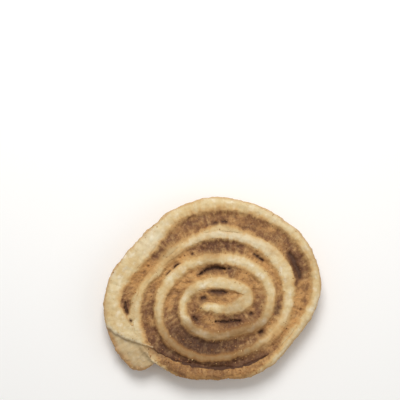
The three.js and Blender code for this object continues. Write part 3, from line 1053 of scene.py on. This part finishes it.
ground = reckon("ADD", near, along_vector(reckon("SUBTRACT", far, near), share))

# Cracks and pits, with frayed edges and scorched surroundings
cracks = Field(tree, put(tree, "GeometryNodeObjectInfo", {"Object": size["Cracks"]}).outputs["Geometry"])
nearest = made(tree, "GeometryNodeSampleNearest", {"Geometry": cracks, "Sample Position": ground})


def of_crack(value, kind="FLOAT"):
    """A value of the nearest crack point."""
    inputs = {"Geometry": cracks, "Value": value, "Index": nearest}
    return made(tree, "GeometryNodeSampleIndex", inputs, data_type=kind)


crack_far = reckon("DISTANCE", ground, of_crack(here(tree), "FLOAT_VECTOR"))
crack_half = of_crack(known(tree, "half"))
fray = noise(place, 1.1 * MM, 3.0, seed) * size["Crack Fray"]
strip = keep(tree, strip, opening=ramp((crack_far + fray) / crack_half, 1.3, 0.3))
strip = keep(tree, strip, scorch=ramp(crack_far / crack_half + fray / MM, 3.2, 0.8))

# Sunk basin, shallower where dough lies over its edge
edge_near, edge_far = (known(tree, name) for name in ("edge_near", "edge_far"))
edge = calc("MINIMUM", edge_near, edge_far)
basin = ramp(edge, 0.2 * MM, size["Basin"])
sink = size["Edge Sink"] + (size["Middle Sink"] - size["Edge Sink"]) * basin
sink = sink + size["Lip Drop"] * ramp(edge, size["Lip"], 0.0)
for name, edge in (("near", edge_near), ("far", edge_far)):
    spill = known(tree, "spill_" + name)
    covered = ramp(edge - spill, 1.4 * MM, 0.2 * MM) * ramp(spill, 0.3 * MM, MM)
    sink = sink * (1.0 - covered * 0.8)

# Swells, lumps, grains, crumbs and burst bubbles
swells = noise(scaled(place, 0.6, 1.0, 0.0), 4 * MM, 2.0, seed) * size["Swells"]
lumps = noise(scaled(place, 0.8, 1.0, 0.0), 1.3 * MM, 3.0, seed) * size["Lumps"]
grain = noise(on_ground, 0.5 * MM, 2.0, seed) * size["Grain"]
bubble, chance = spots(on_ground, size["Bubble Spacing"], seed)
bubble = ramp(bubble, 0.3, 0.1) * ramp(chance, 0.45, 0.55) * size["Bubble Depth"]
strip = keep(tree, strip, "FLOAT_VECTOR", crumbly=jumble(on_ground, MM, CRUMB_PUSH))
crumb = crumb_rise(known(tree, "crumbly", "FLOAT_VECTOR"), size["Crumb Size"]) * size["Crumb Height"]
relief = (swells + lumps + crumb - bubble) * (basin * 0.85 + 0.15) + grain * (basin * 0.6 + 0.4)
strip = keep(tree, strip, relief=relief / MM)
top = size["Thickness"] - face_hollows(ground, size["Face Hollow"]) - sink
top = top + known(tree, "relief") * MM - of_crack(known(tree, "depth")) * known(tree, "opening")
height = size["Foot"] + rise * (top - size["Foot"])
strip = move(tree, strip, Position=reckon("ADD", ground, vector(0.0, 0.0, height)))
strip = bounded(tree, strip, size["Lowest"], size["Thickness"])
strip = forget(tree, strip, "near", "far", "across")
end_tree(tree, strip, size["Material"])
filling = grow("cinnamon_filling_baked", filling_path, tree, filling_sizes)
bpy.data.objects.remove(crack_piece)

tree, shader = new_shader(filling_material)
place, crumbly = (carried(tree, name, "Vector") for name in ("strip", "crumbly"))
rise, relief, dark_and_painted_shade = (carried(tree, name) for name in ("rise", "relief", "dark_and_painted_shade"))
upper = ramp(rise, 0.3, 0.8)
colour = cinnamon_colour(place, crumbly, dark_and_painted_shade, relief)
overlap = (FILLING_REACH - GAP) * MM
for name, (end, _) in MEETS.items():
    edge = overlap - carried(tree, "edge_" + name) + carried(tree, "spill_" + name) * upper
    ragged = carried(tree, "fringe_" + name)
    line = border(carried(tree, "beside_" + name), edge, ragged, BORDER_SEEDS[end])
    deep = (edge - carried(tree, "soak_" + name) - line) / ragged
    # Beside browner dough the soaked edge is browner too, which at the bottoms of turns 1 to 3 is partly
    # painted shade
    toast_and_shade_share = ramp(carried(tree, "toast_and_painted_light_" + name), 0.0, 1.0)
    gold = tint(toast_and_shade_share, SOAKED_GOLD, TOAST_AND_SHADE_TINT, "MULTIPLY")
    cream = tint(toast_and_shade_share, linear(214, 186, 136), TOAST_AND_SHADE_TINT, "MULTIPLY")
    colour = tint(ramp(deep, -1.6, -0.3) * 0.85, colour, gold)
    colour = tint(ramp(deep, -0.7, 0.8), colour, cream)
colour = layered(
    colour,
    (ramp(rise, 0.4, 0.05) * 0.5, 104, 64, 38),
    (carried(tree, "scorch") * upper * 0.7, 98, 62, 40),
    # Deep brown inside the cracks and pits: partly baked caramel, partly painted shade in their depths
    (ramp(carried(tree, "opening"), 0.2, 0.9), 90, 60, 42),
)
uneven_gloss = ramp(relief, -0.4, 0.4, 0.5, 0.8)
finish(tree, shader, colour, uneven_gloss, 0.35, noise(place, 0.25 * MM, 3.0), 0.7, 0.15 * MM)

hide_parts("cinnamon_filling")
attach(filling, "root")


# Loose crumbs. Grains of sugar and cinnamon, and crumbs that the knife tore off and dragged over
# the face. They lie thick on the filling and on the brown dough at the bottom, where they baked on.
FACES_UP = 0.4  # least upward part of the normal where crumbs come to rest


def strewn(tree, piece, density, seed):
    """Points scattered over the upper face of a piece."""
    info = put(tree, "GeometryNodeObjectInfo", {"Object": piece})
    surface = Field(tree, info.outputs["Geometry"])
    upward = calc("GREATER_THAN", part_of(made(tree, "GeometryNodeInputNormal"), "Z"), FACES_UP)
    inputs = {"Mesh": surface, "Density": density * upward, "Seed": seed}
    return made(tree, "GeometryNodeDistributePointsOnFaces", inputs)


def chance_of(tree, low, high, seed, kind="FLOAT"):
    """A random number or vector for each point."""
    return made(tree, "FunctionNodeRandomValue", {"Min": low, "Max": high, "Seed": seed}, data_type=kind)


def scatter(name, tree, sizes, size, points, grain, least, most, length, turn, bend):
    """Puts a grain on each point, stretched at random, bends them all, and keeps them as a piece."""
    points = keep(tree, points, shade=chance_of(tree, 0.0, 1.0, 1))
    stretch = chance_of(tree, least, most, 3, "FLOAT_VECTOR")
    shape = reckon("MULTIPLY", stretch, vector(length, length, length))
    inputs = {"Points": points, "Instance": grain, "Rotation": turn, "Scale": shape}
    grains = made(tree, "GeometryNodeInstanceOnPoints", inputs)
    grains = made(tree, "GeometryNodeRealizeInstances", {"Geometry": grains})
    grains = move(tree, grains, Position=jumble(here(tree), bend, size["Raggedness"]))
    end_tree(tree, grains, size["Material"])
    return grow(name, bpy.data.meshes.new("base"), tree, sizes)


def crumb_finish(tree, shader, colour, blotch, blotch_size, relief_size):
    """Blotches one colour over another and gives the dull, rough finish of a crumb."""
    place = Field(tree, put(tree, "ShaderNodeTexCoord").outputs["Object"])
    colour = layered(colour, (ramp(noise(place, blotch_size), 0.0, 1.0) * 0.4, *blotch))
    finish(tree, shader, colour, 0.85, 0.2, noise(place, relief_size), 0.4, 0.05 * MM)


crumb_material = bpy.data.materials.new("loose_crumbs")
crumb_sizes = {
    "Dough": dough,
    "Filling": filling,
    "On Filling": 0.8 / MM**2,
    "On Brown Dough": 2.2 / MM**2,
    "Clump Size": 3.0 * MM,
    "Least Half": 0.1 * MM,
    "Most Half": 0.32 * MM,
    "Raggedness": 0.35 * MM,
    "Seed": 4,
    "Material": crumb_material,
}
tree, path, size = new_tree("crumb_scatter", crumb_sizes)
on_top = ramp(known(tree, "rise"), 0.93, 0.99)
clumps = ramp(noise(here(tree), size["Clump Size"]), -1.0, 0.8)
shut = 1.0 - known(tree, "opening")
brown = ramp(known(tree, "soak_in"), 2.0 * MM, 4.5 * MM)
points = put(tree, "GeometryNodeJoinGeometry")
for piece, density in (
    ("Filling", size["On Filling"] * on_top * clumps * shut),
    ("Dough", size["On Brown Dough"] * brown * on_top),
):
    fill(tree, points.inputs[0], strewn(tree, size[piece], density, size["Seed"]))
points = Field(tree, points.outputs[0])
half = chance_of(tree, 0.0, 1.0, 2)
half = size["Least Half"] + (size["Most Half"] - size["Least Half"]) * half * half * half
turn = chance_of(tree, (0.0, 0.0, 0.0), (2 * math.pi,) * 3, 5, "FLOAT_VECTOR")
ball = made(tree, "GeometryNodeMeshIcoSphere", {"Radius": 1.0, "Subdivisions": 1})
least, most = (0.7, 0.6, 0.5), (1.4, 1.1, 0.9)
crumbs = scatter(
    "loose_crumbs", tree, crumb_sizes, size, points, ball, least, most, half, turn, 0.35 * MM
)

tree, shader = new_shader(crumb_material)
shade = carried(tree, "shade")
colour = layered(
    linear(112, 74, 48),
    (ramp(shade, 0.05, 0.25), 164, 112, 68),
    (ramp(shade, 0.5, 0.8), 188, 140, 86),
    (ramp(shade, 0.93, 0.99), 202, 162, 112),
)
crumb_finish(tree, shader, colour, (110, 74, 48), 0.3 * MM, 0.15 * MM)

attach(crumbs, "root")


# Dough shreds. Thin flakes that the knife pulled from the layers, lying across the line between
# dough and filling, and standing off the rough rim and the edge of the pressed flap.
shred_material = bpy.data.materials.new("dough_shreds")
shred_sizes = {
    "Dough": dough,
    "At Edges": 0.25 / MM**2,
    "At Rim": 0.8 / MM**2,
    "Least Length": 0.3 * MM,
    "Most Length": 1.0 * MM,
    "Raggedness": 0.4 * MM,
    "Seed": 8,
    "Material": shred_material,
}
tree, path, size = new_tree("shred_scatter", shred_sizes)
on_top = ramp(known(tree, "rise"), 0.9, 0.99)
edges = [
    ramp(known(tree, "edge_" + end), 1.2 * MM, 0.3 * MM) * ramp(known(tree, "soak_" + end), 0.0, 0.3 * MM)
    for end in ("in", "out")
]
edges = calc("MAXIMUM", *edges) * size["At Edges"]
rim_edge = ramp(known(tree, "edge_out"), 1.6 * MM, 0.6 * MM) * known(tree, "flaky") * known(tree, "outside")
rims = calc("MAXIMUM", rim_edge, known(tree, "lip")) * size["At Rim"]
points = strewn(tree, size["Dough"], (edges + rims) * on_top, size["Seed"])
length = chance_of(tree, size["Least Length"], size["Most Length"], 2)
inputs = {"Vector": known(tree, "side", "FLOAT_VECTOR")}
turn = made(tree, "FunctionNodeAlignRotationToVector", inputs, axis="X")
tilt = chance_of(tree, (-0.3, -0.2, -0.9), (0.3, 0.2, 0.9), 4, "FLOAT_VECTOR")
inputs = {"Rotation": turn, "Rotate By": tilt}
turn = made(tree, "FunctionNodeRotateRotation", inputs, rotation_space="LOCAL")
leaf = made(tree, "GeometryNodeMeshIcoSphere", {"Radius": 0.5, "Subdivisions": 2})
least, most = (0.6, 0.3, 0.12), (1.0, 0.7, 0.25)
shreds = scatter(
    "dough_shreds", tree, shred_sizes, size, points, leaf, least, most, length, turn, 0.5 * MM
)

tree, shader = new_shader(shred_material)
shade = carried(tree, "shade")
colour = layered(
    linear(178, 140, 90),
    (ramp(shade, 0.2, 0.8), 206, 176, 126),
    (ramp(shade, 0.85, 0.95), 160, 116, 70),
)
crumb_finish(tree, shader, colour, (190, 150, 96), 0.5 * MM, 0.2 * MM)

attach(shreds, "root")


# Table, light and camera. The slice lies on a pale table under a large soft lamp, brighter from
# the far side, and the camera looks down on it through a long lens.
TABLE_HALF = 1.5  # metres, from the table's middle to its edges
table_corners = [(-TABLE_HALF, -TABLE_HALF, 0), (TABLE_HALF, -TABLE_HALF, 0)]
table_corners += [(TABLE_HALF, TABLE_HALF, 0), (-TABLE_HALF, TABLE_HALF, 0)]
table_mesh = bpy.data.meshes.new("table")
table_mesh.from_pydata(table_corners, [], [(0, 1, 2, 3)])
table = bpy.data.objects.new("table", table_mesh)
bpy.context.scene.collection.objects.link(table)
table_material = bpy.data.materials.new("table_top")
tree, shader = new_shader(table_material)
shader.inputs["Base Color"].default_value = linear(246, 245, 243)
shader.inputs["Roughness"].default_value = 0.6
table_mesh.materials.append(table_material)

world = bpy.data.worlds.new("studio")
bpy.context.scene.world = world
world.use_nodes = True
world.node_tree.nodes["Background"].inputs["Color"].default_value = (1, 0.99, 0.97, 1)
world.node_tree.nodes["Background"].inputs["Strength"].default_value = 0.4


def lamp(name, place, width, power):
    """A square soft lamp that faces the slice."""
    light = bpy.data.lights.new(name, "AREA")
    light.shape = "SQUARE"
    light.size = width
    light.energy = power
    piece = bpy.data.objects.new(name, light)
    piece.location = place
    piece.rotation_mode = "QUATERNION"
    piece.rotation_quaternion = (-Vector(place)).to_track_quat("-Z", "Y")
    bpy.context.scene.collection.objects.link(piece)


lamp("main_lamp", (-0.03, 0.3, 0.48), 0.26, 2.35)
lamp("side_lamp", (0.5, -0.1, 0.4), 0.4, 0.5)

IMAGE_SIDE = 400.0  # pixels
SLICE_AT = (212.5, 287.7)  # pixels, where the middle of the slice's face lies in the picture
FRAME_WIDTH = 0.1574  # metres of table that the picture spans at the slice
LENS = 85.0
SENSOR = 36.0
ELEVATION = math.radians(84)
camera_data = bpy.data.cameras.new("camera")
camera_data.lens = LENS
camera_data.sensor_width = SENSOR
camera_data.clip_start = 0.01
camera = bpy.data.objects.new("camera", camera_data)
forward = Vector((0, math.cos(ELEVATION), -math.sin(ELEVATION)))
upward = Vector((0, math.sin(ELEVATION), math.cos(ELEVATION)))
distance = FRAME_WIDTH * LENS / SENSOR
right_by = (SLICE_AT[0] / IMAGE_SIDE - 0.5) * FRAME_WIDTH
up_by = (0.5 - SLICE_AT[1] / IMAGE_SIDE) * FRAME_WIDTH
face_middle = Vector((0, 0, THICKNESS * MM))
camera.location = face_middle - forward * distance - upward * up_by - Vector((right_by, 0, 0))
camera.rotation_mode = "QUATERNION"
camera.rotation_quaternion = forward.to_track_quat("-Z", "Y")
bpy.context.scene.collection.objects.link(camera)
bpy.context.scene.camera = camera
bpy.context.scene.view_settings.view_transform = "Standard"
